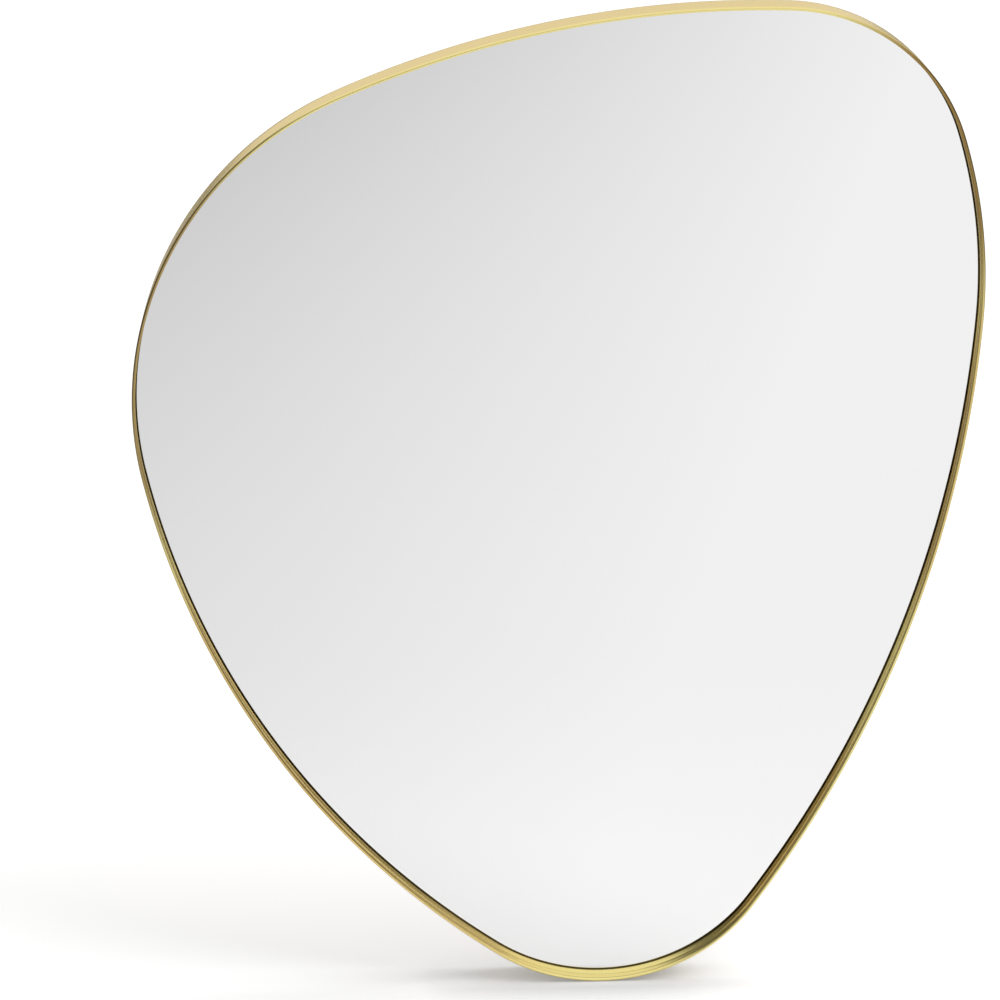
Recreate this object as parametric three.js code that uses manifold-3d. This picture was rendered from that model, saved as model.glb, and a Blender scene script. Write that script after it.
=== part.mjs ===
// Free-form wall mirror: a deep hemmed sheet-metal band round a recessed glass, with the
// backing board, its brackets and the hanging hardware behind.
// Millimetres. Seen from the front, X is to the right and Z up. The wall is the plane Y = 0 and
// the glass faces -Y. The origin is in the wall, midway between the two hooks that carry it.
import * as THREE from 'three';
import { mergeVertices } from 'three/addons/utils/BufferGeometryUtils.js';
import Module from 'manifold-3d';

const wasm = await Module();
wasm.setup();

// ---- Driving dimensions ----

const HEIGHT = 800; // of the whole mirror, to which its outline is scaled

// Outline of the band as drawn, from the middle of the mirror: corner circles joined by long
// arcs. Only its proportions count.
const SHOULDER = { x: -69, z: 174, radius: 394 };
const CROWN = { radius: 145, from: 19 }; // takes over from the shoulder at this direction, in degrees
const LEFT_CORNER = { x: -61, z: 93, radius: 264 };
const FOOT = { x: 38, z: -251, radius: 149 };
const TOP_ARC_RADIUS = 776;
const LEFT_ARC_RADIUS = 667;
const RIGHT_ARC_RADIUS = 951;
const CHORD_ERROR = 0.13; // how far a flat facet may leave the true arc

// Band: one strip, its front edge folded inward over a round bead.
const SHEET = 0.9;
const BAND_DEPTH = 30;
const BEAD_PROUD = 0.9; // how far the bead stands inward of the hem
const BEAD_STEPS = 9;
const EDGE_BREAK = 0.15; // taken off the cut edges of the strip
const GLASS_RECESS = 10; // from the front of the bead to the glass

// Glass and what lies behind it, front to back.
const GLASS_THICKNESS = 4;
const GLASS_ARRIS = 0.2;
const GLASS_CLEARANCE = 0.3; // round the edge of the glass, inside the single sheet
const FILM_THICKNESS = 0.2;
const FILM_INSET = 2; // from the edge of the glass
const PAD = { width: 80, height: 25, thickness: 1.5 };
const PAD_SPACING = { x: 0.3 * HEIGHT, z: 0.2375 * HEIGHT };
const PAD_ROWS = [-1, 0, 1];
const BOARD_THICKNESS = 6;
const BOARD_CLEARANCE = 1;
const BOND_LINE = 0.1; // glue between two faces that are stuck together

// Steel angles, glued to the band and screwed to the board.
const BRACKET = { width: 16, reach: 15, height: 7, thickness: 1.2, bend: 2.4 };
const BRACKET_COUNT = 8;
const BRACKET_START = 0.045; // share of the way round at which the first one sits
const BRACKET_HOLE_INSET = 9;
const FIT_GAP = 0.3; // between a piece and what it is shaped to sit against

// Pan-head screws, all alike.
const SCREW = { shank: 3, length: 6, head: 7, headHeight: 2.2, tip: 1.8 };
const SCREW_SIDES = 12;

// D-ring hangers on the board.
const HANGER_SPACING = 0.425 * HEIGHT;
const HANGER_AXIS_Z = 0.26875 * HEIGHT; // of the ring hinges, above the middle of the mirror
const STRAP = { width: 12, length: 46, thickness: 1.2, eyeSweep: 280 };
const TRIM = 1; // by which a blank stands out all round before it is cut to shape
const STRAP_HOLES = [25, 38]; // below the hinge axis
const RING_WIRE = 3;
const RING_BOW_RADIUS = 11.5;
const RING_CORNER_RADIUS = 3;
const RING_WIRE_SIDES = 8;
const RING_CHORD_ERROR = 0.06;

// Rubber bumpers on the board that keep the band off the wall.
const WALL_GAP = 2; // between the rear rim of the band and the wall
const BUMPER = { radius: 8, taper: 1, edge: 1 };
const BUMPER_INSET = 34;
const BUMPER_DIRECTIONS = [47, 133, 229, 305];

// ---- Planes worked out from the dimensions ----

const rearRim = -WALL_GAP;
const frontFace = rearRim - BAND_DEPTH;
const glassFront = frontFace + GLASS_RECESS;
const filmFront = glassFront + GLASS_THICKNESS + BOND_LINE;
const padFront = filmFront + FILM_THICKNESS + BOND_LINE;
const boardFront = padFront + PAD.thickness + BOND_LINE;
const boardBack = boardFront + BOARD_THICKNESS;
const glassInset = SHEET + GLASS_CLEARANCE;
const boardInset = SHEET + BOARD_CLEARANCE;
const beadRadius = SHEET + BEAD_PROUD / 2;
const screwHoleRadius = SCREW.shank / 2 + FIT_GAP;
const eyeInner = RING_WIRE / 2 + FIT_GAP;
const eyeOuter = eyeInner + STRAP.thickness;
const ringReach = RING_CORNER_RADIUS + RING_BOW_RADIUS - RING_WIRE / 2;

// ---- Finishes ----

const finish = (color, roughness, metalness) =>
  new THREE.MeshStandardMaterial({ color, roughness, metalness });
const BRASS = finish(0xc9ab5e, 0.32, 1);
const SILVERED_GLASS = finish(0xe8ebec, 0.03, 1);
const VINYL_FILM = finish(0x8d9498, 0.5, 0);
const FOAM = finish(0xf0f0ec, 0.9, 0);
const FIBREBOARD = finish(0x8a6f52, 0.85, 0);
const ZINC = finish(0xb9bcc0, 0.35, 1);
const RUBBER = finish(0x1d1d1e, 0.8, 0);

// ---- Outlines made of arcs ----
// An arc has a centre, a radius and the directions, in radians, from which and to which it runs
// anticlockwise. The direction at a point is that of its outward normal.

const unit = (angle) => new THREE.Vector2(Math.cos(angle), Math.sin(angle));
const circle = ({ x, z, radius }) => ({ centre: new THREE.Vector2(x, z), radius });

// The circle of a given radius that touches two smaller ones from outside, both lying in it.
function enclosingCircle(first, second, radius) {
  const span = second.centre.clone().sub(first.centre);
  const reachFirst = radius - first.radius;
  const reachSecond = radius - second.radius;
  const along = (reachFirst ** 2 - reachSecond ** 2 + span.lengthSq()) / (2 * span.length());
  const across = Math.sqrt(reachFirst ** 2 - along ** 2);
  const ahead = span.normalize();
  const centre = first.centre.clone().addScaledVector(ahead, along);
  centre.addScaledVector(new THREE.Vector2(-ahead.y, ahead.x), across);
  return { centre, radius };
}

// The direction of the point where one circle touches the other from inside.
function touchDirection(one, other) {
  const [small, large] = one.radius < other.radius ? [one, other] : [other, one];
  return small.centre.clone().sub(large.centre).angle();
}

// Arcs along touching circles, taken in anticlockwise order.
function arcsAlong(circles) {
  return circles.map((item, index) => {
    const from = touchDirection(circles.at(index - 1), item);
    const to = touchDirection(item, circles[(index + 1) % circles.length]);
    return { ...item, from, to: to < from ? to + 2 * Math.PI : to };
  });
}

function pointOnArc(arc, angle) {
  const normal = unit(angle);
  return { position: arc.centre.clone().addScaledVector(normal, arc.radius), normal };
}

// Points of a closed outline; arcs whose ends lie apart are joined by straight stretches.
function pointsOf(arcs, chordError) {
  const points = [];
  for (const arc of arcs) {
    const sweep = arc.to - arc.from;
    const steps = Math.ceil(sweep / (2 * Math.acos(1 - chordError / arc.radius)));
    for (let step = 0; step <= steps; step += 1) {
      points.push(pointOnArc(arc, arc.from + (sweep * step) / steps));
    }
  }
  const apart = (one, other) => one.position.distanceTo(other.position) > 1e-6;
  return points.filter((point, index) => apart(point, points.at(index - 1)));
}

// The place a given share of the way round an outline, with its arc's radius.
function alongOutline(arcs, share) {
  const lengthOf = (arc) => arc.radius * (arc.to - arc.from);
  let left = share * arcs.reduce((sum, arc) => sum + lengthOf(arc), 0);
  let index = 0;
  while (left > lengthOf(arcs[index])) {
    left -= lengthOf(arcs[index]);
    index += 1;
  }
  const arc = arcs[index];
  const angle = arc.from + left / arc.radius;
  return { ...pointOnArc(arc, angle), angle, radius: arc.radius };
}

function inDirection(arcs, degrees) {
  const turn = 2 * Math.PI;
  const angle = THREE.MathUtils.degToRad(degrees);
  const arc = arcs.find(({ from, to }) => (angle - from + turn) % turn <= to - from);
  return pointOnArc(arc, angle);
}

const shoulder = circle(SHOULDER);
const crownAngle = THREE.MathUtils.degToRad(CROWN.from);
const crownShift = unit(crownAngle).multiplyScalar(SHOULDER.radius - CROWN.radius);
const crown = { centre: shoulder.centre.clone().add(crownShift), radius: CROWN.radius };
const leftCorner = circle(LEFT_CORNER);
const foot = circle(FOOT);
const drawnArcs = arcsAlong([
  shoulder,
  crown,
  enclosingCircle(crown, leftCorner, TOP_ARC_RADIUS),
  leftCorner,
  enclosingCircle(leftCorner, foot, LEFT_ARC_RADIUS),
  foot,
  enclosingCircle(foot, shoulder, RIGHT_ARC_RADIUS),
]);
const heights = pointsOf(drawnArcs, CHORD_ERROR).map(({ position }) => position.y);
const scale = HEIGHT / (Math.max(...heights) - Math.min(...heights));
const mirrorArcs = drawnArcs.map((arc) => ({
  ...arc,
  centre: arc.centre.clone().multiplyScalar(scale),
  radius: arc.radius * scale,
}));
const mirrorOutline = pointsOf(mirrorArcs, CHORD_ERROR);
const insetPoints = (outline, inset) =>
  outline.map(({ position, normal }) => position.clone().addScaledVector(normal, -inset));

// The centre of the area inside an outline.
function centroidOf(outline) {
  const sum = new THREE.Vector2();
  let doubleArea = 0;
  outline.forEach(({ position }, index) => {
    const next = outline[(index + 1) % outline.length].position;
    const cross = position.cross(next);
    doubleArea += cross;
    sum.addScaledVector(position.clone().add(next), cross);
  });
  return sum.divideScalar(3 * doubleArea);
}

// ---- Solids ----

// A closed ring: a section of [inset, y] points swept round an outline. On the outside of the
// ring the section runs from back to front.
function sweepRing(outline, section) {
  const vertices = outline.flatMap(({ position, normal }) =>
    section.flatMap(([inset, y]) => [
      position.x - normal.x * inset,
      y,
      position.y - normal.y * inset,
    ]));
  const corner = (i, j) =>
    (i % outline.length) * section.length + (j % section.length);
  const faces = [];
  for (let i = 0; i < outline.length; i += 1) {
    for (let j = 0; j < section.length; j += 1) {
      faces.push(corner(i, j), corner(i + 1, j), corner(i + 1, j + 1));
      faces.push(corner(i, j), corner(i + 1, j + 1), corner(i, j + 1));
    }
  }
  const geometry = new THREE.BufferGeometry();
  geometry.setAttribute('position', new THREE.Float32BufferAttribute(vertices, 3));
  geometry.setIndex(faces);
  geometry.computeVertexNormals();
  return geometry;
}

// A plate with the given outline in X and Z, from y = 0 back to its thickness.
function plate(points, thickness, arris = 0) {
  const geometry = new THREE.ExtrudeGeometry(new THREE.Shape(points), {
    depth: thickness - 2 * arris,
    bevelEnabled: arris > 0,
    bevelThickness: arris,
    bevelSize: arris,
    bevelOffset: -arris,
    bevelSegments: 1,
  });
  return geometry.rotateX(Math.PI / 2).translate(0, thickness - arris, 0);
}

// A strip of constant width along X, from its side view in Y and Z.
function strip(sideView, width, curveSegments) {
  const geometry = new THREE.ExtrudeGeometry(sideView, {
    depth: width,
    bevelEnabled: false,
    curveSegments,
  });
  const sideways = new THREE.Matrix4().makeBasis(
    new THREE.Vector3(0, 1, 0), new THREE.Vector3(0, 0, 1), new THREE.Vector3(1, 0, 0));
  return geometry.applyMatrix4(sideways).translate(-width / 2, 0, 0);
}

// A round piece on the Y axis, from its [radius, y] profile, back to front.
function turned(profile, sides) {
  const points = profile.map(([radius, y]) => new THREE.Vector2(radius, y));
  return new THREE.LatheGeometry(points, sides);
}

function toSolid(geometry) {
  const bare = geometry.clone();
  bare.deleteAttribute('normal');
  bare.deleteAttribute('uv');
  const merged = mergeVertices(bare);
  return new wasm.Manifold(new wasm.Mesh({
    numProp: 3,
    vertProperties: new Float32Array(merged.attributes.position.array),
    triVerts: new Uint32Array(merged.index.array),
  }));
}

function fromSolid(solid) {
  const { vertProperties, triVerts } = solid.getMesh();
  const geometry = new THREE.BufferGeometry();
  geometry.setAttribute('position', new THREE.BufferAttribute(vertProperties, 3));
  geometry.setIndex(new THREE.BufferAttribute(triVerts, 1));
  geometry.computeVertexNormals();
  return geometry;
}

// Bores holes along Y right through a piece, at [x, z] places.
function drilled(geometry, places, radius) {
  const through = 200;
  const drill = toSolid(new THREE.CylinderGeometry(radius, radius, through, SCREW_SIDES));
  return fromSolid(places.reduce(
    (solid, [x, z]) => solid.subtract(drill.translate([x, 0, z])), toSolid(geometry)));
}

// ---- Pieces ----

function bandGeometry() {
  const hem = 2 * SHEET;
  const hemEnd = glassFront - BOND_LINE;
  const beadCentre = frontFace + beadRadius;
  const beadEnd = Math.acos((hem - beadRadius) / beadRadius);
  const bead = [];
  for (let step = 0; step <= BEAD_STEPS; step += 1) {
    const angle = Math.PI - ((Math.PI + beadEnd) * step) / BEAD_STEPS;
    bead.push([
      beadRadius + beadRadius * Math.cos(angle),
      beadCentre - beadRadius * Math.sin(angle),
    ]);
  }
  return sweepRing(mirrorOutline, [
    [EDGE_BREAK, rearRim],
    [0, rearRim - EDGE_BREAK],
    ...bead,
    [hem, hemEnd - EDGE_BREAK],
    [hem - EDGE_BREAK, hemEnd],
    [SHEET, hemEnd],
    [SHEET, rearRim - EDGE_BREAK],
    [SHEET - EDGE_BREAK, rearRim],
  ]);
}

// Its seat is the plane y = 0, its upright leg stands at z = 0 and its foot reaches to -Z.
function bracketGeometry() {
  const { width, reach, height, thickness, bend } = BRACKET;
  const sideView = new THREE.Shape();
  sideView.moveTo(0, -reach);
  sideView.lineTo(0, -bend);
  sideView.absarc(bend, -bend, bend, Math.PI, Math.PI / 2, true);
  sideView.lineTo(height, 0);
  sideView.lineTo(height, -thickness);
  sideView.absarc(bend, -bend, bend - thickness, Math.PI / 2, Math.PI, false);
  sideView.lineTo(thickness, -reach);
  return drilled(strip(sideView, width, 5), [[0, -BRACKET_HOLE_INSET]], screwHoleRadius);
}

// Its head bears on the plane y = 0 and its tip points to -Y.
function screwGeometry() {
  const shank = SCREW.shank / 2;
  const head = SCREW.head / 2;
  return turned([
    [0, -SCREW.length],
    [shank, SCREW.tip - SCREW.length],
    [shank, 0],
    [head, 0],
    [head, SCREW.headHeight / 3],
    [head * 0.6, SCREW.headHeight],
    [0, SCREW.headHeight],
  ], SCREW_SIDES);
}

// Hinge axis along X through the origin; the strap hangs down to -Z in front of it.
function strapGeometry() {
  const eyeEnd = Math.PI - THREE.MathUtils.degToRad(STRAP.eyeSweep);
  const sideView = new THREE.Shape();
  sideView.moveTo(-eyeOuter, -STRAP.length);
  sideView.lineTo(-eyeOuter, 0);
  sideView.absarc(0, 0, eyeOuter, Math.PI, eyeEnd, true);
  sideView.lineTo(eyeInner * Math.cos(eyeEnd), eyeInner * Math.sin(eyeEnd));
  sideView.absarc(0, 0, eyeInner, eyeEnd, Math.PI, false);
  sideView.lineTo(-eyeInner, -STRAP.length);

  const half = STRAP.width / 2;
  const frontView = new THREE.Shape();
  frontView.moveTo(-half, STRAP.width);
  frontView.lineTo(-half, half - STRAP.length);
  frontView.absarc(0, half - STRAP.length, half, Math.PI, 2 * Math.PI, false);
  frontView.lineTo(half, STRAP.width);
  const depth = 4 * eyeOuter;
  const blank = plate(frontView.getPoints(12), depth).translate(0, -depth / 2, 0);
  const shaped = toSolid(strip(sideView, STRAP.width + TRIM, 18)).intersect(toSolid(blank));
  return drilled(fromSolid(shaped), STRAP_HOLES.map((below) => [0, -below]), screwHoleRadius);
}

// Hinge axis along X through the origin, the bow hanging down.
function ringGeometry() {
  const corner = RING_BOW_RADIUS - RING_CORNER_RADIUS;
  const arc = (x, radius, from, to) => ({
    centre: new THREE.Vector2(x, -RING_CORNER_RADIUS),
    radius,
    from: from * Math.PI,
    to: to * Math.PI,
  });
  const outline = pointsOf([
    arc(-corner, RING_CORNER_RADIUS, 0.5, 1),
    arc(0, RING_BOW_RADIUS, 1, 2),
    arc(corner, RING_CORNER_RADIUS, 2, 2.5),
  ], RING_CHORD_ERROR);
  const section = [];
  for (let side = 0; side < RING_WIRE_SIDES; side += 1) {
    const angle = (2 * Math.PI * side) / RING_WIRE_SIDES;
    section.push([(-RING_WIRE / 2) * Math.sin(angle), (RING_WIRE / 2) * Math.cos(angle)]);
  }
  return sweepRing(outline, section);
}

// Stuck to the board at y = 0, its other end against the wall.
function bumperGeometry(height) {
  const { radius, taper, edge } = BUMPER;
  return turned([
    [0, 0],
    [radius, 0],
    [radius - taper + edge, height - edge],
    [radius - taper, height],
    [0, height],
  ], 28);
}

// ---- Assembly ----

const mirror = new THREE.Group();

function add(parent, name, geometry, material, x = 0, y = 0, z = 0) {
  const mesh = new THREE.Mesh(geometry, material);
  mesh.name = name;
  mesh.position.set(x, y, z);
  parent.add(mesh);
}

// The body's own axes start in the middle of the outline; it hangs by its balance point.
const balance = centroidOf(mirrorOutline);
const body = new THREE.Group();
body.position.set(-balance.x, 0, -HANGER_AXIS_Z - ringReach);
mirror.add(body);

const glassOutline = insetPoints(mirrorOutline, glassInset);
const filmOutline = insetPoints(mirrorOutline, glassInset + FILM_INSET);
const glass = plate(glassOutline, GLASS_THICKNESS, GLASS_ARRIS);
add(body, 'frame_band', bandGeometry(), BRASS);
add(body, 'mirror_glass', glass, SILVERED_GLASS, 0, glassFront);
add(body, 'safety_film', plate(filmOutline, FILM_THICKNESS), VINYL_FILM, 0, filmFront);

PAD_ROWS.forEach((row, index) => {
  for (const side of [-1, 1]) {
    const name = `foam_pad_${2 * index + (side + 3) / 2}`;
    const geometry = new THREE.BoxGeometry(PAD.width, PAD.thickness, PAD.height);
    const x = balance.x + (side * PAD_SPACING.x) / 2;
    const z = balance.y + row * PAD_SPACING.z;
    add(body, name, geometry, FOAM, x, padFront + PAD.thickness / 2, z);
  }
});

const screwPlaces = [];

for (let index = 0; index < BRACKET_COUNT; index += 1) {
  const share = BRACKET_START + index / BRACKET_COUNT;
  const { position, normal, angle, radius } = alongOutline(mirrorArcs, share);
  const sagitta = BRACKET.width ** 2 / (8 * radius);
  const seat = position.clone().addScaledVector(normal, -SHEET - FIT_GAP - sagitta);
  const bracket = new THREE.Group();
  bracket.position.set(seat.x, boardBack, seat.y);
  bracket.rotation.y = Math.PI / 2 - angle;
  body.add(bracket);
  const number = index + 1;
  add(bracket, `angle_bracket_${number}`, bracketGeometry(), ZINC);
  add(bracket, `bracket_screw_${number}`, screwGeometry(), ZINC,
    0, BRACKET.thickness, -BRACKET_HOLE_INSET);
  const hole = seat.addScaledVector(normal, -BRACKET_HOLE_INSET);
  screwPlaces.push([hole.x, hole.y]);
}

for (const [side, name] of [[-1, 'left'], [1, 'right']]) {
  const hanger = new THREE.Group();
  const x = balance.x + (side * HANGER_SPACING) / 2;
  hanger.position.set(x, boardBack + eyeOuter, HANGER_AXIS_Z);
  body.add(hanger);
  add(hanger, `hanger_strap_${name}`, strapGeometry(), ZINC);
  add(hanger, `hanger_ring_${name}`, ringGeometry(), ZINC);
  STRAP_HOLES.forEach((below, index) => {
    const screw = `hanger_screw_${name}_${index + 1}`;
    add(hanger, screw, screwGeometry(), ZINC, 0, -eyeInner, -below);
    screwPlaces.push([x, HANGER_AXIS_Z - below]);
  });
}

const boardBlank = plate(insetPoints(mirrorOutline, boardInset), BOARD_THICKNESS);
const board = drilled(boardBlank, screwPlaces, screwHoleRadius);
add(body, 'backing_board', board, FIBREBOARD, 0, boardFront);

BUMPER_DIRECTIONS.forEach((direction, index) => {
  const { position, normal } = inDirection(mirrorArcs, direction);
  const centre = position.clone().addScaledVector(normal, -BUMPER_INSET);
  add(body, `wall_bumper_${index + 1}`, bumperGeometry(-boardBack), RUBBER,
    centre.x, boardBack, centre.y);
});

export default mirror;
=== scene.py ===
import math

import bmesh
import bpy
import numpy as np
from mathutils import Matrix, Vector

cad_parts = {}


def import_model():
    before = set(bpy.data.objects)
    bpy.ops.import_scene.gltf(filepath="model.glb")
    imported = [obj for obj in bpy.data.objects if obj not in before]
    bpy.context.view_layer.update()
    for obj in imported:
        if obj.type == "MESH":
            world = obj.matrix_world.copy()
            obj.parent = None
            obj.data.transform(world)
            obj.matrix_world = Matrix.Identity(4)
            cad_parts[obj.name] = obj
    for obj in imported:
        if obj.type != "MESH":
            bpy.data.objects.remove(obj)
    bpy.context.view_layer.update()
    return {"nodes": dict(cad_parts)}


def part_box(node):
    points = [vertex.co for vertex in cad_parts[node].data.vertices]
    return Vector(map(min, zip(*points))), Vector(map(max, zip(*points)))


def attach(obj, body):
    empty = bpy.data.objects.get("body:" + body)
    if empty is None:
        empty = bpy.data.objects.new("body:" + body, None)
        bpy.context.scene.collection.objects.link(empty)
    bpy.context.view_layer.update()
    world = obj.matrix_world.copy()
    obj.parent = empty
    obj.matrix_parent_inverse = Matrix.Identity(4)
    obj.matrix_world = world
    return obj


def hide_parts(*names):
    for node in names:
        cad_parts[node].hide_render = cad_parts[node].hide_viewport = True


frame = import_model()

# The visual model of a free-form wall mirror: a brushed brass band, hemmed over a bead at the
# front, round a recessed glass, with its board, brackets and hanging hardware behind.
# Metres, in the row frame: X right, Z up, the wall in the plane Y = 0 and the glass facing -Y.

MM = 0.001

# ---- Sizes, as in the solids, in millimetres ----

HEIGHT = 800  # of the whole mirror, to which its outline is scaled
SHOULDER = (-69, 174, 394)  # x, z and radius as drawn, from the middle of the mirror
CROWN_RADIUS = 145
CROWN_FROM = 19  # degrees
LEFT_CORNER = (-61, 93, 264)
FOOT = (38, -251, 149)
TOP_ARC_RADIUS = 776
LEFT_ARC_RADIUS = 667
RIGHT_ARC_RADIUS = 951
OUTLINE_STEP = 2.0

SHEET = 0.9
SHEET_EDGE = 0.15  # taken off the cut edges of the strip
BEAD_PROUD = 0.9
BEAD_RADIUS = SHEET + BEAD_PROUD / 2
REAR_RIM = -2
FRONT_FACE = -32
GLASS_FRONT = -22
GLASS_THICKNESS = 4
GLASS_INSET = 1.2
GLASS_ARRIS = 0.2
HEM_END = GLASS_FRONT - 0.1
BOARD_BACK = -10

SCREW_SHANK = 1.5  # radius over the thread
SCREW_CORE = 1.1  # radius under it
SCREW_PITCH = 1.1
SCREW_CREST = 0.3  # half the width of the thread at its root, as a share of the pitch
SCREW_PLAIN = 0.8  # without a thread, under the head
SCREW_LENGTH = 6
SCREW_TIP = 1.8
SCREW_HEAD = 3.5  # radius
SCREW_HEAD_HEIGHT = 2.2
SCREW_HEAD_RIM = 0.75  # height of its straight side
RECESS_DEPTH = 1.5
RECESS_OVERSHOOT = 0.3
RECESS_MOUTH = (1.9, 0.42)  # length and half width of each arm of the cross
RECESS_FLOOR = (0.75, 0.22)
SCREW_HOLE = 1.8  # radius

STRIP_EDGE = 0.12  # taken off the edges of brackets and straps
BRACKET_WIDTH = 16
BRACKET_REACH = 15
BRACKET_HEIGHT = 7
BRACKET_THICKNESS = 1.2
BRACKET_BEND = 2.4  # outside
BRACKET_HOLE_INSET = 9

HINGE_DROP = 13  # from the hooks down to the axis of the rings
HANGER_AXIS_Z = 0.26875 * HEIGHT
HANGER_X = 0.2125 * HEIGHT
HINGE_Y = -7
STRAP_WIDTH = 12
STRAP_LENGTH = 46
STRAP_THICKNESS = 1.2
STRAP_HOLES = (25, 38)  # below the hinge axis
EYE_RADIUS = 2.4  # of the middle of the sheet
RING_WIRE = 1.5  # radius
RING_BOW = 11.5
RING_CORNER = 3

BUMPER_RADIUS = 8
BUMPER_HEIGHT = 10
BUMPER_EDGE = 1  # round the face that meets the wall
BUMPER_FOOT_EDGE = 0.3

FLOOR_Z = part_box("frame_band")[0].z

# Length across the strip from the rear rim, outside, to the far side of the bead.
BACK_OF_BEAD = (REAR_RIM - FRONT_FACE - BEAD_RADIUS) + math.pi * BEAD_RADIUS

# ---- Outline: corner circles joined by long arcs that touch them ----


def unit(angle):
    return np.array([math.cos(angle), math.sin(angle)])


def enclosing_circle(first, second, radius):
    """The circle of that radius that two smaller ones touch from inside."""
    (c1, r1), (c2, r2) = first, second
    span = c2 - c1
    length = np.hypot(*span)
    along = ((radius - r1) ** 2 - (radius - r2) ** 2 + length**2) / (2 * length)
    across = math.sqrt((radius - r1) ** 2 - along**2)
    ahead = span / length
    return c1 + ahead * along + np.array([-ahead[1], ahead[0]]) * across, radius


def touch_direction(one, other):
    small, large = sorted((one, other), key=lambda item: item[1])
    return math.atan2(*(small[0] - large[0])[::-1])


def mirror_arcs():
    """(centre, radius, from, to) of each arc, anticlockwise."""
    def circle_at(x, z, radius):
        return np.array([x, z], float), float(radius)

    shoulder = circle_at(*SHOULDER)
    shift = unit(math.radians(CROWN_FROM)) * (SHOULDER[2] - CROWN_RADIUS)
    crown = (shoulder[0] + shift, float(CROWN_RADIUS))
    left = circle_at(*LEFT_CORNER)
    foot = circle_at(*FOOT)
    circles = [
        shoulder,
        crown,
        enclosing_circle(crown, left, TOP_ARC_RADIUS),
        left,
        enclosing_circle(left, foot, LEFT_ARC_RADIUS),
        foot,
        enclosing_circle(foot, shoulder, RIGHT_ARC_RADIUS),
    ]
    arcs = []
    for index, (centre, radius) in enumerate(circles):
        start = touch_direction(circles[index - 1], circles[index])
        end = touch_direction(circles[index], circles[(index + 1) % len(circles)])
        arcs.append((centre, radius, start, end if end > start else end + 2 * math.pi))
    return arcs


def outline():
    """Points and outward normals round the band, and how far round each point is."""
    points, normals = [], []
    for centre, radius, start, end in mirror_arcs():
        count = max(2, math.ceil(radius * (end - start) / OUTLINE_STEP))
        for index in range(count):
            normal = unit(start + (end - start) * index / count)
            points.append(centre + normal * radius)
            normals.append(normal)
    points, normals = np.array(points), np.array(normals)
    points *= HEIGHT / np.ptp(points[:, 1])
    after = np.roll(points, -1, 0)
    cross = points[:, 0] * after[:, 1] - points[:, 1] * after[:, 0]
    balance = ((points + after) * cross[:, None]).sum(0) / (3 * cross.sum())
    lengths = np.hypot(*(after - points).T)
    travelled = np.concatenate([[0], np.cumsum(lengths)])
    shift = np.array([-balance[0], -HANGER_AXIS_Z - HINGE_DROP])
    return points + shift, normals, travelled


# ---- Mesh helpers ----


def finished(name, mesh, materials, body, replaced, crease=35):
    """Makes a mesh a smooth-shaded piece, with edges sharper than crease kept sharp."""
    bm = bmesh.new()
    bm.from_mesh(mesh)
    bmesh.ops.recalc_face_normals(bm, faces=bm.faces)
    for face in bm.faces:
        face.smooth = True
    for edge in bm.edges:
        edge.smooth = edge.calc_face_angle(0) < math.radians(crease)
    bm.to_mesh(mesh)
    bm.free()
    piece = bpy.data.objects.new(name, mesh)
    bpy.context.scene.collection.objects.link(piece)
    for material in materials:
        mesh.materials.append(material)
    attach(piece, body)
    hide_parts(*replaced)


def sweep_ring(name, path, section):
    """A closed ring: [inset, y] section points, in millimetres, swept round a path, with a UV
    map in metres along and across the strip."""
    points, normals, travelled = path
    count, size = len(points), len(section)
    section = np.array(section, float)
    inset, depth = section[:, 0], section[:, 1]
    flat = points[:, None, :] - normals[:, None, :] * inset[None, :, None]
    vertices = np.stack(
        [flat[..., 0], np.broadcast_to(depth, (count, size)), flat[..., 1]], -1
    ).reshape(-1, 3) * MM
    across = np.concatenate(
        [[0], np.cumsum(np.hypot(*(np.roll(section, -1, 0) - section).T))])
    faces, uvs = [], []
    for i in range(count):
        for j in range(size):
            i2, j2 = (i + 1) % count, (j + 1) % size
            faces.append((i * size + j, i2 * size + j, i2 * size + j2, i * size + j2))
            uvs += [
                (travelled[i], across[j]), (travelled[i + 1], across[j]),
                (travelled[i + 1], across[j + 1]), (travelled[i], across[j + 1]),
            ]
    mesh = bpy.data.meshes.new(name)
    mesh.from_pydata(vertices.tolist(), [], faces)
    layer = mesh.uv_layers.new(name="strip")
    layer.data.foreach_set("uv", (np.array(uvs) * MM).ravel())
    return mesh


def arc_points(x, y, radius, start, end, steps):
    """Points on an arc, angles in degrees."""
    angles = np.radians(np.linspace(start, end, steps + 1))
    return [(x + radius * math.cos(a), y + radius * math.sin(a)) for a in angles]


def circle(radius, y, sides, x=0.0, z=0.0):
    """Points round an axis along Y."""
    angles = [2 * math.pi * i / sides for i in range(sides)]
    return [(x + radius * math.cos(a), y, z + radius * math.sin(a)) for a in angles]


def lofted(name, rings):
    """A solid through rings of points, in millimetres. An end ring of one point is a tip, and
    any other end ring is closed with a flat face."""
    bm = bmesh.new()
    loops = [[bm.verts.new((x * MM, y * MM, z * MM)) for x, y, z in ring] for ring in rings]
    for a, b in zip(loops, loops[1:]):
        for i in range(max(len(a), len(b))):
            j = i + 1
            corners = [a[i % len(a)], a[j % len(a)], b[j % len(b)], b[i % len(b)]]
            bm.faces.new(list(dict.fromkeys(corners)))
    for end in (loops[0][::-1], loops[-1]):
        if len(end) > 1:
            bm.faces.new(end)
    bmesh.ops.recalc_face_normals(bm, faces=bm.faces)
    mesh = bpy.data.meshes.new(name)
    bm.to_mesh(mesh)
    bm.free()
    return mesh


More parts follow.
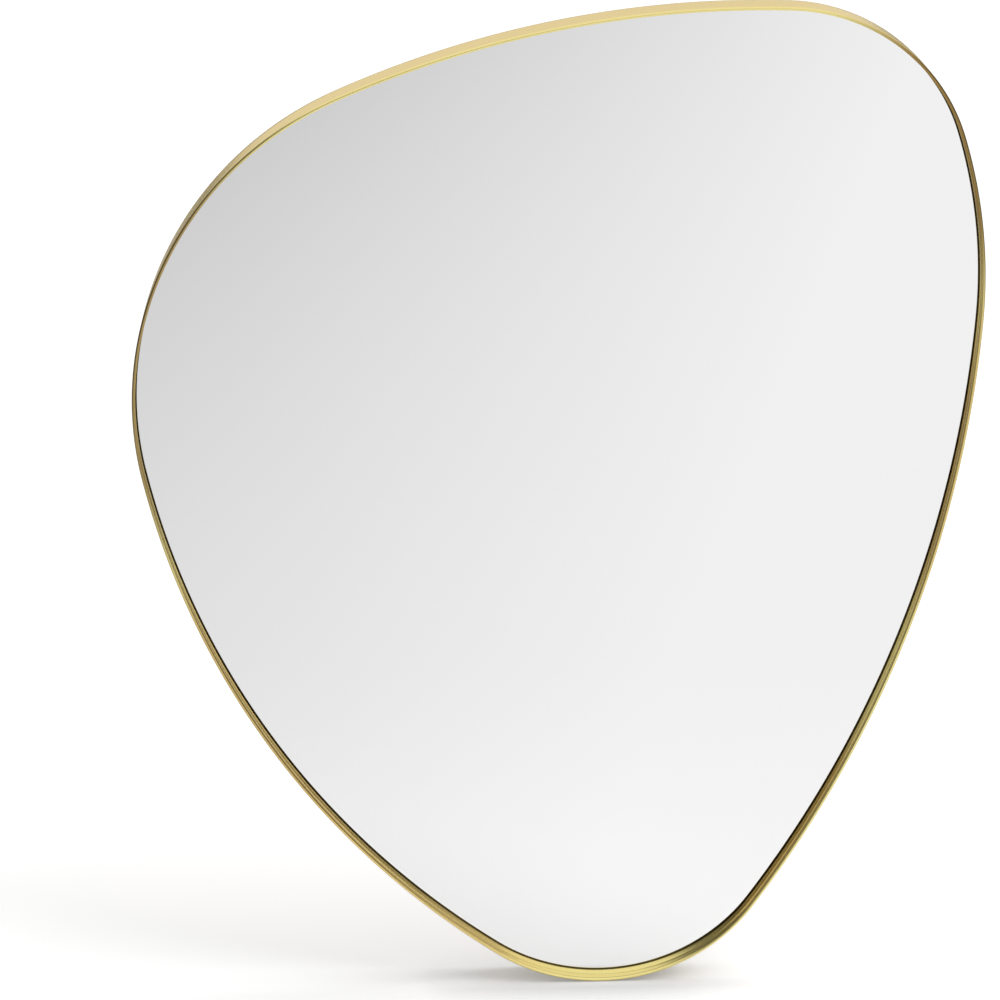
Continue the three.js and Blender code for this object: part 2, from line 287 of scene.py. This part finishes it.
def cut(mesh, tools):
    """Takes the tool meshes away from a mesh."""
    target = bpy.data.objects.new("target", mesh)
    bpy.context.scene.collection.objects.link(target)
    helpers = []
    for tool in tools:
        helper = bpy.data.objects.new("tool", tool)
        bpy.context.scene.collection.objects.link(helper)
        helpers.append(helper)
        modifier = target.modifiers.new("cut", "BOOLEAN")
        modifier.operation = "DIFFERENCE"
        modifier.solver = "EXACT"
        modifier.object = helper
    graph = bpy.context.evaluated_depsgraph_get()
    result = bpy.data.meshes.new_from_object(target.evaluated_get(graph))
    for helper in helpers + [target]:
        bpy.data.objects.remove(helper)
    return result


def drill(z):
    """A drill along Y for a screw hole, long enough for any of these pieces."""
    return lofted("drill", [circle(SCREW_HOLE, y, 40, z=z) for y in (-20, 20)])


def bent_strip(line, widths, thickness):
    """A strip of sheet whose middle follows a line of (y, z) points, with broken edges. Its
    half width at each point is given, and X is across it."""
    line = np.array(line, float)
    tangent = np.gradient(line, axis=0)
    tangent /= np.hypot(*tangent.T)[:, None]
    side = np.stack([-tangent[:, 1], tangent[:, 0]], 1)
    half = thickness / 2
    rings = []
    for point, out, width in zip(line, side, widths):
        corners = []
        for across, up in ((1, 1), (-1, 1), (-1, -1), (1, -1)):
            first, second = (width - STRIP_EDGE, half), (width, half - STRIP_EDGE)
            if across * up > 0:
                first, second = second, first
            corners += [(across * first[0], up * first[1]), (across * second[0], up * second[1])]
        rings.append([(x, *(point + out * offset)) for x, offset in corners])
    return lofted("strip", rings)


def placed(mesh, x, y, z, turn=0.0):
    """A copy of a mesh, turned about Y and moved, in millimetres."""
    copy = mesh.copy()
    copy.transform(Matrix.Translation((x * MM, y * MM, z * MM)) @ Matrix.Rotation(turn, 4, "Y"))
    return copy


def middle_of(name):
    """x and z of the middle of a solid, in millimetres."""
    low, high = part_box(name)
    return (low.x + high.x) / 2 / MM, (low.z + high.z) / 2 / MM


# ---- Shader helpers ----


def nodes_of(name):
    """A new material, its node tree and its shader."""
    material = bpy.data.materials.new(name)
    material.use_nodes = True
    return material, material.node_tree, material.node_tree.nodes["Principled BSDF"]


def node(tree, kind, inputs=None, **settings):
    """A new node, each of whose inputs is a value or another node's output."""
    made = tree.nodes.new("ShaderNode" + kind)
    for key, value in settings.items():
        setattr(made, key, value)
    for key, value in (inputs or {}).items():
        if isinstance(value, bpy.types.NodeSocket):
            tree.links.new(value, made.inputs[key])
        else:
            made.inputs[key].default_value = value
    return made


def maths(tree, operation, *values):
    return node(tree, "Math", dict(enumerate(values)), operation=operation).outputs[0]


def mapped(tree, value, start, end, low=0.0, high=1.0, **settings):
    """Takes a value from the range start to end into the range low to high."""
    return node(tree, "MapRange", {
        "Value": value, "From Min": start, "From Max": end, "To Min": low, "To Max": high},
        **settings).outputs["Result"]


def chosen(tree, switch, when_off, when_on):
    """One number where the switch is 0 and another where it is 1."""
    return node(tree, "Mix", {"Factor": switch, "A": when_off, "B": when_on},
                data_type="FLOAT").outputs["Result"]


def blended(tree, share, first, second, **settings):
    """From the first colour to the second as the share grows."""
    return node(tree, "Mix", {"Factor": share, "A": first, "B": second},
                data_type="RGBA", **settings).outputs["Result"]


def multiplied(tree, first, second, share=1.0):
    return blended(tree, share, first, second, blend_type="MULTIPLY")


def noise(tree, place, scale, detail, roughness=0.5):
    return node(tree, "TexNoise", {
        "Vector": place, "Scale": scale, "Detail": detail,
        "Roughness": roughness}).outputs["Fac"]


def ramp(tree, value, *stops):
    """A colour for each value, by (position, colour) stops."""
    made = node(tree, "ValToRGB", {"Fac": value})
    elements = made.color_ramp.elements
    first, *between, last = stops
    for element, (position, colour) in zip(elements, (first, last)):
        element.position = position
        element.color = (*colour, 1)
    for position, colour in between:
        elements.new(position).color = (*colour, 1)
    return made.outputs["Color"]


def dressed(tree, shader, tone, gloss, height, strength, distance):
    """Gives a shader its colour, roughness and fine relief."""
    relief = node(tree, "Bump", {"Height": height, "Strength": strength, "Distance": distance})
    tree.links.new(tone, shader.inputs["Base Color"])
    tree.links.new(gloss, shader.inputs["Roughness"])
    tree.links.new(relief.outputs["Normal"], shader.inputs["Normal"])


# ---- Materials ----

OUTER_PLATING = (0.80, 0.66, 0.41, 1)
BEAD_PLATING = (0.95, 0.835, 0.355, 1)
BEAD_STARTS = 26 * MM  # across the strip
BEAD_FRONT = 31 * MM

# Shade behind the bead, in lengths across the strip: full as far as the first, and gone at the
# second near the floor and at the third higher up.
SHADE_FULL = (BACK_OF_BEAD + 1.6) * MM
SHADE_GONE_LOW = (BACK_OF_BEAD + 2.6) * MM
SHADE_GONE_HIGH = (BACK_OF_BEAD + 7.5) * MM

# Patches of painted shade: the stretch of the strip, the centre and reach in metres, and the
# tint.
PAINTED_SHADE_PATCHES = (
    ("bead", (0.285, -0.03, 0.075), 0.15, (0.40, 0.30, 0.24)),
    ("bead", (0.31, -0.03, -0.18), 0.17, (0.86, 0.76, 0.68)),
    ("wall", (0.31, -0.03, -0.2), 0.13, (0.64, 0.54, 0.46)),
    ("wall", (0.185, -0.03, -0.51), 0.14, (0.62, 0.46, 0.30)),
    ("bead", (-0.335, -0.03, -0.08), 0.22, (0.46, 0.38, 0.38)),
    ("bead", (-0.25, -0.03, -0.38), 0.16, (0.80, 0.68, 0.65)),
    ("bead", (-0.13, -0.03, -0.54), 0.16, (1.0, 0.88, 0.86)),
)


def brass():
    """Brass plating brushed along the strip, paler outside than at the front, with painted shade
    behind the bead and in patches."""
    material, tree, shader = nodes_of("brushed_brass")
    place = node(tree, "TexCoord")
    brushed = node(tree, "Mapping", {"Vector": place.outputs["UV"], "Scale": (45, 5200, 1)})
    grain = noise(tree, brushed.outputs["Vector"], 1.0, 5.0, 0.62)
    clouds = noise(tree, place.outputs["Object"], 14.0, 3.0)
    across = node(tree, "SeparateXYZ", {"Vector": place.outputs["UV"]}).outputs["Y"]
    stretches = {
        "bead": mapped(tree, across, BEAD_STARTS, BEAD_FRONT),
        "wall": mapped(tree, across, BACK_OF_BEAD * MM, (BACK_OF_BEAD + 0.15) * MM),
    }

    tone = blended(tree, stretches["bead"], OUTER_PLATING, BEAD_PLATING)
    streaks = ramp(tree, grain, (0.25, (0.92, 0.91, 0.88)), (0.75, (1, 1, 1)))
    tone = multiplied(tree, tone, streaks)
    handled = blended(tree, clouds, (1, 1, 1, 1), (0.95, 0.93, 0.88, 1))
    tone = multiplied(tree, tone, handled)

    spot = node(tree, "SeparateXYZ", {"Vector": place.outputs["Object"]})
    height = maths(tree, "MULTIPLY_ADD", spot.outputs["X"], 0.5, spot.outputs["Z"])
    gone = mapped(tree, height, FLOOR_Z + 0.012, FLOOR_Z + 0.22, SHADE_GONE_LOW, SHADE_GONE_HIGH)
    shade = ramp(
        tree, mapped(tree, across, SHADE_FULL, gone),
        (0.0, (0.09, 0.08, 0.065)), (0.2, (0.17, 0.1581, 0.136)),
        (0.55, (0.55, 0.5115, 0.44)), (1.0, (1, 1, 1)))
    tone = multiplied(tree, tone, shade, stretches["wall"])

    # Each patch darkens its stretch of the plating by its tint, as painted shade.
    for stretch, centre, reach, tint in PAINTED_SHADE_PATCHES:
        gap = node(tree, "VectorMath", {0: place.outputs["Object"], 1: centre},
                   operation="DISTANCE").outputs["Value"]
        clear = mapped(tree, gap, 0.4 * reach, reach, interpolation_type="SMOOTHSTEP")
        patch = blended(tree, clear, (*tint, 1), (1, 1, 1, 1))
        tone = multiplied(tree, tone, patch, stretches[stretch])

    gloss = mapped(tree, grain, 0.3, 0.7, 0.17, 0.29)
    dressed(tree, shader, tone, gloss, grain, 0.25, 0.01 * MM)
    shader.inputs["Metallic"].default_value = 1.0
    shader.inputs["Specular Tint"].default_value = (0.94, 0.86, 0.60, 1)
    return material


def silvering():
    """Silvered glass, with the faintest haze."""
    material, tree, shader = nodes_of("silvered_face")
    haze = noise(tree, node(tree, "TexCoord").outputs["Object"], 6.0, 4.0)
    tone = blended(tree, haze, (0.93, 0.93, 0.93, 1), (0.94, 0.94, 0.94, 1))
    gloss = mapped(tree, haze, 0.0, 1.0, 0.0, 0.012)
    tree.links.new(tone, shader.inputs["Base Color"])
    tree.links.new(gloss, shader.inputs["Roughness"])
    shader.inputs["Metallic"].default_value = 1.0
    return material


def plain(name, dark, light, roughness, scale=200.0):
    """A fine-grained finish between two tones."""
    material, tree, shader = nodes_of(name)
    grain = noise(tree, node(tree, "TexCoord").outputs["Object"], scale, 4.0)
    tone = blended(tree, grain, (*dark, 1), (*light, 1))
    gloss = mapped(tree, grain, 0.0, 1.0, roughness - 0.07, roughness + 0.07)
    dressed(tree, shader, tone, gloss, grain, 0.2, 0.1 * MM)
    return material


def fibreboard():
    """Pressed fibres lying every way, with darker clumps and a scuffed, sanded face."""
    material, tree, shader = nodes_of("fibreboard")
    place = node(tree, "TexCoord").outputs["Object"]
    layers = []
    for turn in (0.3, 1.4, 2.5):
        laid = node(tree, "Mapping", {
            "Vector": place, "Rotation": (0, turn, 0), "Scale": (4.5 * MM, 4.5 * MM, 0.5 * MM)},
            vector_type="TEXTURE")
        layers.append(noise(tree, laid.outputs["Vector"], 1.0, 3.0))
    fibres = maths(tree, "MAXIMUM", maths(tree, "MAXIMUM", layers[0], layers[1]), layers[2])
    clumps = noise(tree, place, 38.0, 6.0, 0.7)
    specks = node(tree, "TexVoronoi", {"Vector": place, "Scale": 650.0})
    speck = mapped(tree, specks.outputs["Distance"], 0.05, 0.25, 0.72, 1.0)
    tone = ramp(tree, fibres, (0.45, (0.30, 0.185, 0.098)), (0.72, (0.56, 0.39, 0.225)))
    tone = blended(tree, clumps, tone, (0.40, 0.265, 0.15, 1))
    tone = multiplied(tree, tone, speck)
    gloss = mapped(tree, clumps, 0.0, 1.0, 0.72, 0.95)
    dressed(tree, shader, tone, gloss, fibres, 0.35, 0.2 * MM)
    return material


def zinc():
    """Bright zinc plating: fine crystals, and duller patches where it has been handled."""
    material, tree, shader = nodes_of("zinc_plating")
    place = node(tree, "TexCoord").outputs["Object"]
    crystals = node(tree, "TexVoronoi", {"Vector": place, "Scale": 1500.0})
    facet = node(tree, "SeparateColor", {"Color": crystals.outputs["Color"]})
    patches = noise(tree, place, 160.0, 5.0, 0.6)
    tone = ramp(tree, patches, (0.32, (0.46, 0.475, 0.50)), (0.66, (0.74, 0.75, 0.765)))
    tone = blended(tree, facet.outputs["Red"], tone, (0.62, 0.635, 0.655, 1))
    gloss = mapped(tree, patches, 0.3, 0.7, 0.40, 0.22)
    dressed(tree, shader, tone, gloss, facet.outputs["Green"], 0.15, 0.02 * MM)
    shader.inputs["Metallic"].default_value = 1.0
    return material


BRASS = brass()
SILVERING = silvering()
GLASS_EDGE = plain("ground_glass_edge", (0.10, 0.16, 0.14), (0.16, 0.23, 0.20), 0.3)
BACK_PAINT = plain("mirror_back_paint", (0.16, 0.17, 0.18), (0.20, 0.21, 0.22), 0.5)
FIBREBOARD = fibreboard()
ZINC = zinc()
RUBBER = plain("black_rubber", (0.008, 0.008, 0.009), (0.02, 0.02, 0.021), 0.62, 900.0)
FOAM = plain("foam_tape", (0.78, 0.78, 0.75), (0.88, 0.88, 0.86), 0.9, 1500.0)
VINYL = plain("vinyl_film", (0.25, 0.28, 0.30), (0.31, 0.34, 0.36), 0.5, 700.0)

# ---- The band and the glass ----


def band(path):
    """One strip, its front edge folded inward over the bead and hemmed back to the glass."""
    hem = 2 * SHEET
    bead_end = math.degrees(math.acos((hem - BEAD_RADIUS) / BEAD_RADIUS))
    bead_y = FRONT_FACE + BEAD_RADIUS
    section = (
        arc_points(SHEET_EDGE, REAR_RIM - SHEET_EDGE, SHEET_EDGE, 90, 180, 3)
        + [(0, -8), (0, -14), (0, -20), (0, -26)]
        + arc_points(BEAD_RADIUS, bead_y, BEAD_RADIUS, 180, 360 + bead_end, 28)
        + [(hem, -27)]
        + arc_points(hem - SHEET_EDGE, HEM_END - SHEET_EDGE, SHEET_EDGE, 0, 90, 3)
        + [(SHEET, HEM_END), (SHEET, -18), (SHEET, -12), (SHEET, -7)]
        + arc_points(SHEET - SHEET_EDGE, REAR_RIM - SHEET_EDGE, SHEET_EDGE, 0, 90, 3)
    )
    finished("band", sweep_ring("band", path, section), [BRASS], "mirror",
             ["frame_band"])


def glass_pane(path):
    """The pane with a ground arris; its front, edge and painted back differ in finish."""
    points, normals, _ = path
    back = GLASS_FRONT + GLASS_THICKNESS
    rows = [
        (GLASS_INSET + GLASS_ARRIS, GLASS_FRONT), (GLASS_INSET, GLASS_FRONT + GLASS_ARRIS),
        (GLASS_INSET, back - GLASS_ARRIS), (GLASS_INSET + GLASS_ARRIS, back),
    ]
    rings = [[(x, y, z) for x, z in points - normals * inset] for inset, y in rows]
    mesh = lofted("glass_pane", rings)
    finished("glass_pane", mesh, [SILVERING, GLASS_EDGE, BACK_PAINT], "mirror",
             ["mirror_glass"], crease=20)
    for polygon in mesh.polygons:
        if abs(polygon.normal.y) < 0.9:
            polygon.material_index = 1
        elif polygon.normal.y > 0:
            polygon.material_index = 2


# ---- Screws, brackets, hangers and bumpers ----


def screw_shank(sides):
    """Rings from the tip up to the head, with the thread on them."""
    steps = 66
    rings = [[(0, -SCREW_LENGTH, 0)]]
    for step in range(1, steps + 1):
        y = -SCREW_LENGTH + SCREW_LENGTH * step / steps
        taper = min(1.0, (y + SCREW_LENGTH) / SCREW_TIP)
        level = []
        for i in range(sides):
            angle = 2 * math.pi * i / sides
            phase = (y / SCREW_PITCH - i / sides) % 1
            crest = max(0.0, 1 - abs(phase - 0.5) / SCREW_CREST) if y < -SCREW_PLAIN else 0.0
            radius = (SCREW_CORE + (SCREW_SHANK - SCREW_CORE) * crest) * taper
            level.append((radius * math.cos(angle), y, radius * math.sin(angle)))
        rings.append(level)
    return rings


def screw_head(sides):
    """Rings of the pan head, from its bearing face up."""
    dome_height = SCREW_HEAD_HEIGHT - SCREW_HEAD_RIM
    profile = [(SCREW_HEAD - 0.1, 0), (SCREW_HEAD, 0.12), (SCREW_HEAD, SCREW_HEAD_RIM)]
    profile += [(SCREW_HEAD * math.cos(t), SCREW_HEAD_RIM + dome_height * math.sin(t))
                for t in np.radians(np.linspace(12, 84, 9))]
    return [circle(radius, y, sides) for radius, y in profile]


def cross_recess():
    """The hollow for a cross-head driver, which narrows downwards."""
    rings = []
    for y, (reach, half) in ((SCREW_HEAD_HEIGHT + RECESS_OVERSHOOT, RECESS_MOUTH),
                             (SCREW_HEAD_HEIGHT - RECESS_DEPTH, RECESS_FLOOR)):
        cross = [(half, half), (half, reach), (-half, reach), (-half, half), (-reach, half),
                 (-reach, -half), (-half, -half), (-half, -reach), (half, -reach),
                 (half, -half), (reach, -half), (reach, half)]
        rings.append([(x, y, z) for x, z in cross])
    return lofted("recess", rings)


def screws():
    """Pan-head wood screws, all alike, each turned a little further than the one before."""
    sides = 28
    screw = cut(lofted("screw", screw_shank(sides) + screw_head(sides)), [cross_recess()])
    names = [f"bracket_screw_{i}" for i in range(1, 9)]
    names += [f"hanger_screw_{side}_{i}" for side in ("left", "right") for i in (1, 2)]
    for index, name in enumerate(names):
        x, z = middle_of(name)
        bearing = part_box(name)[1].y / MM - SCREW_HEAD_HEIGHT
        finished(f"{name}_threaded", placed(screw, x, bearing, z, 0.9 * index), [ZINC],
                 "mirror", [name], crease=50)


def brackets(path):
    """Angles bent from strip: each lies on the board under its screw and turns up along the
    band, square to it."""
    points, normals, _ = path
    half = BRACKET_THICKNESS / 2
    bend = BRACKET_BEND - half
    lying, standing = BRACKET_REACH - BRACKET_BEND, BRACKET_HEIGHT - BRACKET_BEND
    line = [(half, -BRACKET_REACH + lying * t / 8) for t in range(9)]
    line += [(BRACKET_BEND - bend * math.cos(t), -BRACKET_BEND + bend * math.sin(t))
             for t in np.radians(np.linspace(11.25, 90, 8))]
    line += [(BRACKET_BEND + standing * t / 4, -half) for t in range(1, 5)]
    strip = bent_strip(line, [BRACKET_WIDTH / 2] * len(line), BRACKET_THICKNESS)
    bracket = cut(strip, [drill(-BRACKET_HOLE_INSET)])
    for index in range(1, 9):
        x, z = middle_of(f"bracket_screw_{index}")
        out = normals[np.argmin(np.hypot(points[:, 0] - x, points[:, 1] - z))]
        turn = math.pi / 2 - math.atan2(out[1], out[0])
        x, z = np.array([x, z]) + BRACKET_HOLE_INSET * out
        finished(f"bracket_{index}_bent", placed(bracket, x, BOARD_BACK, z, turn), [ZINC],
                 "mirror", [f"angle_bracket_{index}"])


def strap():
    """A strap with a round lower end, two screw holes and an eye rolled round the hinge axis,
    which is the origin."""
    half = STRAP_WIDTH / 2
    tip = [half * (1 - math.cos(t)) for t in np.radians(np.linspace(8, 90, 12))]
    line = [(-EYE_RADIUS, -STRAP_LENGTH + along) for along in tip]
    widths = [math.sqrt(half**2 - (half - along) ** 2) for along in tip]
    line += [(-EYE_RADIUS, -STRAP_LENGTH + half + 4 * step) for step in range(1, 11)]
    line += [(EYE_RADIUS * math.cos(t), EYE_RADIUS * math.sin(t))
             for t in np.radians(np.linspace(170, -100, 34))]
    widths += [half] * (len(line) - len(widths))
    return cut(bent_strip(line, widths, STRAP_THICKNESS), [drill(-z) for z in STRAP_HOLES])


def ring(x):
    """A D-ring of wire: a bar on the hinge axis, two corners and a bow that hangs below."""
    corner = RING_BOW - RING_CORNER
    places, outward = [], []
    for centre, radius, start, end, count in (
            (-corner, RING_CORNER, 90, 180, 10), (0, RING_BOW, 180, 360, 56),
            (corner, RING_CORNER, 0, 90, 10)):
        for t in np.radians(np.linspace(start, end, count, endpoint=centre > 0)):
            places.append((centre + radius * math.cos(t), -RING_CORNER + radius * math.sin(t)))
            outward.append((math.cos(t), math.sin(t)))
    places.append((0, 0))
    outward.append((0, 1))
    places, outward = np.array(places), np.array(outward)
    gaps = np.hypot(*(np.roll(places, -1, 0) - places).T)
    path = (places + np.array([x, -HINGE_DROP]), outward, np.concatenate([[0], np.cumsum(gaps)]))
    wire = [(RING_WIRE * math.sin(t), HINGE_Y + RING_WIRE * math.cos(t))
            for t in np.radians(np.linspace(0, 360, 24, endpoint=False))]
    return sweep_ring("ring", path, wire)


def hangers():
    rolled = strap()
    for side, x in (("left", -HANGER_X), ("right", HANGER_X)):
        finished(f"strap_{side}_rolled", placed(rolled, x, HINGE_Y, -HINGE_DROP), [ZINC],
                 "mirror", [f"hanger_strap_{side}"])
        finished(f"ring_{side}_wire", ring(x), [ZINC], f"ring_{side}",
                 [f"hanger_ring_{side}"], crease=60)


def bumpers():
    profile = [
        *arc_points(BUMPER_RADIUS - BUMPER_FOOT_EDGE, BUMPER_FOOT_EDGE, BUMPER_FOOT_EDGE,
                    -90, 0, 4),
        (BUMPER_RADIUS, BUMPER_HEIGHT - 1.4 * BUMPER_EDGE),
        *arc_points(BUMPER_RADIUS - BUMPER_EDGE, BUMPER_HEIGHT - BUMPER_EDGE, BUMPER_EDGE,
                    0, 90, 8),
        (BUMPER_RADIUS - 1.6 * BUMPER_EDGE, BUMPER_HEIGHT),
    ]
    bumper = lofted("bumper", [circle(radius, y, 48) for radius, y in profile])
    for index in range(1, 5):
        x, z = middle_of(f"wall_bumper_{index}")
        finished(f"bumper_{index}_moulded", placed(bumper, x, BOARD_BACK, z), [RUBBER],
                 "mirror", [f"wall_bumper_{index}"], crease=50)


OUTLINE = outline()
band(OUTLINE)
glass_pane(OUTLINE)
screws()
brackets(OUTLINE)
hangers()
bumpers()

# The solids that stay are the board, the film and the foam pads.
FLAT_FINISHES = {"backing_board": FIBREBOARD, "safety_film": VINYL}
for name, cad in frame["nodes"].items():
    if cad.hide_render:
        continue
    cad.data.materials.clear()
    cad.data.materials.append(FLAT_FINISHES.get(name, FOAM))

# ---- Studio ----

CAMERA_PLACE = (-0.1546, -2.282, 0.588)
CAMERA_AZIMUTH = 0.04274  # radians towards +X from +Y
CAMERA_ELEVATION = -0.33997
FOCAL_SHARE = 3.0935  # focal length over sensor width
SENSOR_WIDTH = 36

KEY_DIRECTION = (-0.58, 0.06, -0.81)
KEY_STRENGTH = 2.35
KEY_SPREAD = 50  # degrees
SKY_FILL = 0.36
SKY_DIM = 0.2

FLOOR_SIZE = 30  # half its side
FLOOR_DROP = 0.0002  # below the band
FLOOR_TONE = 0.8
FLOOR_GLOW = 0.36
BAND_FRONT_Y = -0.042  # a centimetre in front of the band
BAND_INSIDE_Y = -0.026


def look_matrix(position, direction):
    forward = Vector(direction).normalized()
    right = forward.cross(Vector((0, 0, 1))).normalized()
    up = right.cross(forward)
    return Matrix((
        (right.x, up.x, -forward.x, position[0]),
        (right.y, up.y, -forward.y, position[1]),
        (right.z, up.z, -forward.z, position[2]),
        (0, 0, 0, 1),
    ))


def camera():
    data = bpy.data.cameras.new("camera")
    data.sensor_width = SENSOR_WIDTH
    data.lens = SENSOR_WIDTH * FOCAL_SHARE
    made = bpy.data.objects.new("camera", data)
    bpy.context.scene.collection.objects.link(made)
    made.matrix_world = look_matrix(CAMERA_PLACE, (
        math.sin(CAMERA_AZIMUTH) * math.cos(CAMERA_ELEVATION),
        math.cos(CAMERA_AZIMUTH) * math.cos(CAMERA_ELEVATION),
        math.sin(CAMERA_ELEVATION),
    ))
    bpy.context.scene.camera = made


def floor_in_mirror(tree, place, x, y):
    """A painted falloff of light on the floor, seen only in reflections: lighter to the right
    and at the foot of the mirror, darker far away and out to the sides."""
    slope = maths(tree, "MULTIPLY_ADD", y, 0.056, maths(tree, "MULTIPLY_ADD", x, 0.225, 0.83))
    level = node(tree, "Clamp", {"Value": slope, "Min": 0.34, "Max": 0.826}).outputs[0]
    distance = node(tree, "VectorMath", {0: place}, operation="LENGTH").outputs["Value"]
    far = mapped(tree, distance, 4.2, 12.0, 1.0, 0.5, interpolation_type="SMOOTHSTEP")
    aside = maths(tree, "ABSOLUTE", maths(tree, "ADD", x, -0.25))
    flank = mapped(tree, aside, 0.95, 2.8, 1.0, 0.42, interpolation_type="SMOOTHSTEP")
    foot = mapped(tree, y, -0.7, -0.06, 1.0, 1.045)
    for share in (far, flank, foot):
        level = maths(tree, "MULTIPLY", level, share)
    return level


def floor_by_band(tree, y):
    """A painted contact shade on the floor, from ambient occlusion, deep in front of the band
    and faint behind it.
    """
    nearby = node(tree, "AmbientOcclusion", {"Distance": 0.06}).outputs["AO"]
    least = mapped(tree, y, BAND_FRONT_Y, BAND_INSIDE_Y, 0.02, 0.74)
    return mapped(tree, nearby, 0.0, 1.0, least, 1.0)


def floor():
    """A pale floor that comes out white, keeps the shadow, and falls off in the mirror."""
    material = bpy.data.materials.new("studio_floor")
    material.use_nodes = True
    tree = material.node_tree
    tree.nodes.clear()
    place = node(tree, "NewGeometry").outputs["Position"]
    spot = node(tree, "SeparateXYZ", {"Vector": place})
    x, y = spot.outputs["X"], spot.outputs["Y"]
    rays = node(tree, "LightPath")
    in_mirror = rays.outputs["Is Glossy Ray"]
    share = chosen(tree, in_mirror, floor_by_band(tree, y), floor_in_mirror(tree, place, x, y))
    tone = maths(tree, "MULTIPLY", share, FLOOR_TONE)
    seen = maths(tree, "MAXIMUM", rays.outputs["Is Camera Ray"], in_mirror)
    # In reflections the floor's glow fades out under and behind the band: painted shade for the
    # lower lip to mirror.
    in_front = mapped(tree, y, BAND_INSIDE_Y, BAND_FRONT_Y)
    glow_level = maths(tree, "MULTIPLY", chosen(tree, in_mirror, 1.0, in_front), share)
    glow_level = maths(tree, "MULTIPLY", seen, glow_level)
    glow_level = maths(tree, "MULTIPLY", glow_level, FLOOR_GLOW)
    matt = node(tree, "BsdfDiffuse", {"Color": tone})
    glow = node(tree, "Emission", {"Strength": glow_level})
    both = node(tree, "AddShader", {0: matt.outputs[0], 1: glow.outputs[0]})
    node(tree, "OutputMaterial", {"Surface": both.outputs[0]})
    mesh = bpy.data.meshes.new("floor")
    mesh.from_pydata([(x * FLOOR_SIZE, y * FLOOR_SIZE, 0)
                      for x, y in ((-1, -1), (1, -1), (1, 1), (-1, 1))], [], [(0, 1, 2, 3)])
    mesh.materials.append(material)
    ground = bpy.data.objects.new("floor", mesh)
    ground.location = (0, 0, FLOOR_Z - FLOOR_DROP)
    bpy.context.scene.collection.objects.link(ground)


def world():
    """White to the camera and a soft fill for the rest. In reflections it is white overhead
    and behind the mirror, and dim elsewhere low down and at the sides."""
    made = bpy.data.worlds.new("studio")
    bpy.context.scene.world = made
    made.use_nodes = True
    tree = made.node_tree
    tree.nodes.clear()
    place = node(tree, "TexCoord").outputs["Generated"]
    look = node(tree, "SeparateXYZ", {"Vector": place})
    aside = maths(tree, "ABSOLUTE", maths(tree, "SUBTRACT", look.outputs["X"], 0.2))
    low = mapped(tree, maths(tree, "SUBTRACT", look.outputs["Z"], aside), 0.0, -0.22)
    ahead = mapped(tree, look.outputs["Y"], 0.85, 0.35)
    sky = mapped(tree, maths(tree, "MULTIPLY", low, ahead), 0.0, 1.0, 1.0, SKY_DIM)
    rays = node(tree, "LightPath")
    level = chosen(tree, rays.outputs["Is Glossy Ray"], SKY_FILL, sky)
    level = chosen(tree, rays.outputs["Is Camera Ray"], level, 1.0)
    backdrop = node(tree, "Background", {"Color": (1, 1, 1, 1), "Strength": level})
    node(tree, "OutputWorld", {"Surface": backdrop.outputs[0]})


def key_light():
    """A broad, soft lamp from the upper right, left out of reflections."""
    data = bpy.data.lights.new("key", "SUN")
    data.energy = KEY_STRENGTH
    data.angle = math.radians(KEY_SPREAD)
    lamp = bpy.data.objects.new("key", data)
    bpy.context.scene.collection.objects.link(lamp)
    lamp.visible_glossy = False
    lamp.matrix_world = look_matrix((0, 0, 3), KEY_DIRECTION)


bpy.context.scene.view_settings.view_transform = "Standard"
camera()
floor()
world()
key_light()
